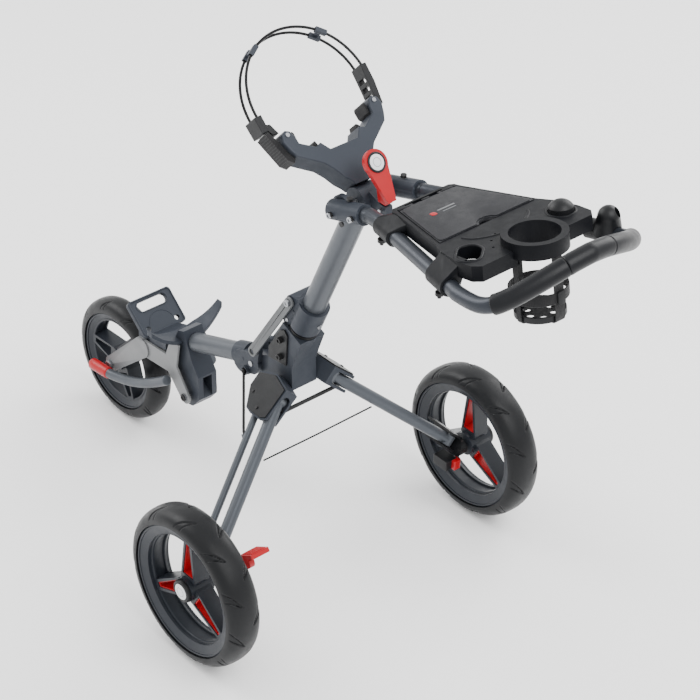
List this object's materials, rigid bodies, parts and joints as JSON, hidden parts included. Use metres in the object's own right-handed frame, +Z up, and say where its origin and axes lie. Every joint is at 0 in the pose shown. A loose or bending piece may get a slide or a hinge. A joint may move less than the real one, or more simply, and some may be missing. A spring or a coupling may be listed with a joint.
{
  "type": "golf push trolley",
  "caption": "Folding push trolley for a golf bag: a leaning mast on a spread wheel frame, with bag cradles, a cam lever, a tray with a bottle ring, and a looped grip.",
  "frame": {"origin": "on the ground, at the middle of the bounding box's base", "axes": "+X to the right of the person who pushes, +Y the way it rolls, +Z up"},
  "size_m": [0.6752, 1.2296, 0.9683],
  "materials": {
    "graphite_paint": "satin graphite powder coat",
    "casting_paint": "dark blue-grey satin coat, fine grain",
    "plate_grey": "mid-grey satin coat",
    "bolt_steel": "plain zinc-plated steel",
    "bolt_black": "black oxide, semi-gloss",
    "black_plastic": "fine-grained black moulding",
    "charcoal_plastic": "charcoal moulding with a soft grain",
    "tray_plastic": "dark satin moulding",
    "rim_plastic": "blue-grey satin moulding",
    "tyre_foam": "dense foamed tyre, faint sheen",
    "red_plastic": "red moulding, soft gloss",
    "grip_foam": "soft-touch rubber sleeve",
    "pad_rubber": "plain black rubber",
    "webbing": "woven black webbing"
  },
  "bodies": {
    "chassis": {"main_casting": "casting_paint", "arm_covers": "black_plastic", "hinge_plates": "black_plastic", "casting_bolts": "bolt_black", "cross_rod": "bolt_black", "seat_ring": "pad_rubber", "hinge_pins": "bolt_steel", "brake_cable": "bolt_black"},
    "mast": {"mast_collar": "casting_paint", "mast_tube": "graphite_paint", "mast_head": "casting_paint", "mast_bolts": "bolt_steel", "cradle": "casting_paint", "cradle_pads": "pad_rubber", "strap_webbing": "webbing", "strap_fittings": "black_plastic", "strap_wires": "bolt_black", "strap_clips": "casting_paint"},
    "cam_lever": {"lever": "red_plastic"},
    "links": {"fold_links": "plate_grey"},
    "handle": {"handle_yoke": "casting_paint", "yoke_bolts": "bolt_black", "handle_tube": "graphite_paint", "grips": "grip_foam", "console_tray": "tray_plastic", "tray_clamps": "bolt_black", "ball_cap": "black_plastic", "bottle_straps": "webbing", "bottle_dish": "black_plastic", "umbrella_holder": "black_plastic"},
    "lid": {"console_lid": "charcoal_plastic"},
    "front_frame": {"front_tube": "graphite_paint", "front_bracket": "casting_paint", "latch_block": "casting_paint", "wheel_fork": "plate_grey", "bag_base": "casting_paint", "bag_saddle": "casting_paint", "stand_hoops": "graphite_paint", "hoop_caps": "red_plastic", "front_axle": "bolt_steel"},
    "front_wheel": {"front_rim": "rim_plastic", "front_tyre": "tyre_foam"},
    "left_leg": {"leg_left": "graphite_paint"},
    "right_leg": {"leg_right": "graphite_paint"},
    "left_link": {"leg_link_left": "graphite_paint"},
    "right_link": {"leg_link_right": "graphite_paint"},
    "left_knuckle": {"knuckle_left": "black_plastic"},
    "right_knuckle": {"knuckle_right": "black_plastic", "brake_housing": "black_plastic"},
    "left_wheel": {"rim_left": "rim_plastic", "tyre_left": "tyre_foam", "liners_left": "red_plastic", "hub_cap_left": "black_plastic"},
    "right_wheel": {"rim_right": "rim_plastic", "tyre_right": "tyre_foam", "liners_right": "red_plastic", "hub_cap_right": "black_plastic"},
    "pedal": {"brake_pedal": "red_plastic"},
    "left_rod": {"rod_left": "bolt_black"},
    "right_rod": {"rod_right": "bolt_black"}
  },
  "joints": [
    {"name": "mast_fold", "type": "hinge", "parent": "chassis", "child": "mast", "pos_m": [0, 0.0209, 0.4679], "axis": [-1, 0, 0], "range_deg": [0, 88]},
    {"name": "link_pivot", "type": "hinge", "parent": "mast", "child": "links", "pos_m": [0, 0.0094, 0.5102], "axis": [1, 0, 0], "range_deg": [0, 84.87]},
    {"name": "front_fold", "type": "hinge", "parent": "chassis", "child": "front_frame", "pos_m": [0, 0.1122, 0.3288], "axis": [-1, 0, 0], "range_deg": [0, 110.42]},
    {"name": "left_leg_fold", "type": "hinge", "parent": "chassis", "child": "left_leg", "pos_m": [-0.057, -0.0048, 0.337], "axis": [-0.6743, 0, 0.7385], "range_deg": [0, 41.95]},
    {"name": "right_leg_fold", "type": "hinge", "parent": "chassis", "child": "right_leg", "pos_m": [0.057, -0.0048, 0.337], "axis": [-0.6743, 0, -0.7385], "range_deg": [0, 41.95]},
    {"name": "left_link_fold", "type": "hinge", "parent": "chassis", "child": "left_link", "pos_m": [-0.057, 0.0292, 0.337], "axis": [-0.6743, 0, 0.7385], "range_deg": [0, 41.95]},
    {"name": "right_link_fold", "type": "hinge", "parent": "chassis", "child": "right_link", "pos_m": [0.057, 0.0292, 0.337], "axis": [-0.6743, 0, -0.7385], "range_deg": [0, 41.95]},
    {"name": "left_knuckle_turn", "type": "hinge", "parent": "left_leg", "child": "left_knuckle", "pos_m": [-0.25583, -0.0866, 0.15545], "axis": [-0.6743, 0, 0.7385], "range_deg": [-41.95, 0]},
    {"name": "right_knuckle_turn", "type": "hinge", "parent": "right_leg", "child": "right_knuckle", "pos_m": [0.25583, -0.0866, 0.15545], "axis": [-0.6743, 0, -0.7385], "range_deg": [-41.95, 0]},
    {"name": "left_rod_turn", "type": "hinge", "parent": "left_link", "child": "left_rod", "pos_m": [-0.1137, 0.0144, 0.2852], "axis": [-0.153, -0.6159, -0.7728], "range_deg": [0, 43.49]},
    {"name": "right_rod_turn", "type": "hinge", "parent": "right_link", "child": "right_rod", "pos_m": [0.1137, 0.0144, 0.2852], "axis": [-0.153, 0.6159, 0.7728], "range_deg": [0, 43.49]},
    {"name": "handle_fold", "type": "hinge", "parent": "mast", "child": "handle", "pos_m": [0, -0.1348, 0.77], "axis": [1, 0, 0], "range_deg": [-10, 75]},
    {"name": "lever_throw", "type": "hinge", "parent": "mast", "child": "cam_lever", "pos_m": [0, -0.1808, 0.772], "axis": [1, 0, 0], "range_deg": [0, 50]},
    {"name": "lid_open", "type": "hinge", "parent": "handle", "child": "lid", "pos_m": [0, -0.2668, 0.829], "axis": [1, 0, 0], "range_deg": [-95, 0]},
    {"name": "pedal_press", "type": "hinge", "parent": "left_knuckle", "child": "pedal", "pos_m": [-0.25, -0.1228, 0.172], "axis": [1, 0, 0], "range_deg": [0, 12], "stiffness_Nm_per_rad": 0.8, "springref_deg": -20.05},
    {"name": "left_wheel_spin", "type": "hinge", "parent": "left_knuckle", "child": "left_wheel", "pos_m": [-0.3066, -0.1008, 0.14], "axis": [1, 0, 0], "continuous": true},
    {"name": "right_wheel_spin", "type": "hinge", "parent": "right_knuckle", "child": "right_wheel", "pos_m": [0.3066, -0.1008, 0.14], "axis": [1, 0, 0], "continuous": true},
    {"name": "front_wheel_spin", "type": "hinge", "parent": "front_frame", "child": "front_wheel", "pos_m": [0, 0.4978, 0.117], "axis": [1, 0, 0], "continuous": true}
  ],
  "couplings": [
    {"joint": "link_pivot", "follows": "mast_fold", "ratio": 0.9642},
    {"joint": "front_fold", "follows": "mast_fold", "ratio": 1.2546},
    {"joint": "left_leg_fold", "follows": "mast_fold", "ratio": 0.4765},
    {"joint": "right_leg_fold", "follows": "mast_fold", "ratio": 0.4765},
    {"joint": "left_link_fold", "follows": "mast_fold", "ratio": 0.4765},
    {"joint": "right_link_fold", "follows": "mast_fold", "ratio": 0.4765},
    {"joint": "left_knuckle_turn", "follows": "mast_fold", "ratio": -0.4765},
    {"joint": "right_knuckle_turn", "follows": "mast_fold", "ratio": -0.4765},
    {"joint": "left_rod_turn", "follows": "mast_fold", "ratio": 0.494},
    {"joint": "right_rod_turn", "follows": "mast_fold", "ratio": 0.494}
  ]
}
